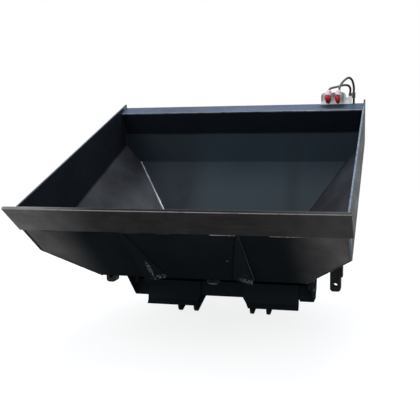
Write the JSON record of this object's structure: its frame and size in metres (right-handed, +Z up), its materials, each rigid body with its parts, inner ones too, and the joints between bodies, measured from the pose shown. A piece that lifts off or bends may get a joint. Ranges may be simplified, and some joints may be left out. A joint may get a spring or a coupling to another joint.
{
  "type": "bulk bag filling bucket",
  "caption": "Wide loader bucket with hopper sides and a hydraulic slide gate in its bottom, for filling bulk bags hung under it.",
  "frame": {"origin": "middle of the lower hitch pin line, through the four ears' lower bores", "axes": "+X to the bucket's right along the hitch pins, +Y to the back (the machine's side), +Z up with the bucket held level"},
  "size_m": [1.628, 1.6744, 1.418],
  "materials": {
    "paint": "semi-gloss near-black paint, dusty",
    "worn_paint": "near-black paint, dusty and scuffed",
    "edge_steel": "thin paint over steel, worn bright along the edge",
    "gate_steel": "dull, rubbed by its rails",
    "zinc": "zinc plated",
    "galvanised": "bright galvanised sheet",
    "chrome": "polished hard chrome",
    "clamp_steel": "dark plated steel",
    "cap_red": "soft red vinyl",
    "hose_rubber": "dusty black rubber cover"
  },
  "bodies": {
    "root": {"side_plate_left": "paint", "side_plate_right": "paint", "bottom_plate": "paint", "back_plate": "paint", "hopper_plate_left": "paint", "hopper_plate_right": "paint", "top_beam": "paint", "front_stiffener_left": "paint", "front_stiffener_right": "paint", "rear_rib_left": "paint", "rear_rib_right": "paint", "rail_left": "paint", "rail_right": "paint", "cylinder_barrel": "paint", "anchor_bracket": "paint", "front_beam": "paint", "rear_beam": "paint", "cheek_left": "paint", "cheek_right": "paint", "face_plate_left": "paint", "face_plate_right": "paint", "ear_left_outer": "paint", "ear_left_inner": "paint", "ear_right_inner": "paint", "ear_right_outer": "paint", "hanger_arm_left": "paint", "hanger_arm_right": "paint", "hanger_gusset_left": "paint", "hanger_gusset_right": "paint", "floor_plate": "worn_paint", "cutting_edge": "edge_steel", "anchor_pin": "zinc", "anchor_pin_clips": "zinc", "cylinder_gland": "zinc", "cheek_bolts": "zinc", "bracket_bolts": "zinc", "coupler_left": "zinc", "coupler_right": "zinc", "port_fittings": "zinc", "coupler_bracket": "galvanised", "hose_clamps": "clamp_steel", "hose_ferrules": "clamp_steel", "hose_open": "hose_rubber", "hose_close": "hose_rubber"},
    "gate": {"slide_gate": "gate_steel", "gate_lug": "paint", "rod_pin": "zinc", "rod_pin_clips": "zinc", "cylinder_rod": "chrome"},
    "cap_left": {"dust_cap_left": "cap_red"},
    "cap_right": {"dust_cap_right": "cap_red"}
  },
  "joints": [
    {"name": "gate_slide", "type": "slide", "parent": "root", "child": "gate", "axis": [0, 1, 0], "range_m": [0, 0.305]},
    {"name": "cap_left_pull", "type": "slide", "parent": "root", "child": "cap_left", "axis": [-0.2079, 0, -0.9781], "range_m": [0, 0.014]},
    {"name": "cap_right_pull", "type": "slide", "parent": "root", "child": "cap_right", "axis": [-0.2079, 0, -0.9781], "range_m": [0, 0.014]}
  ]
}
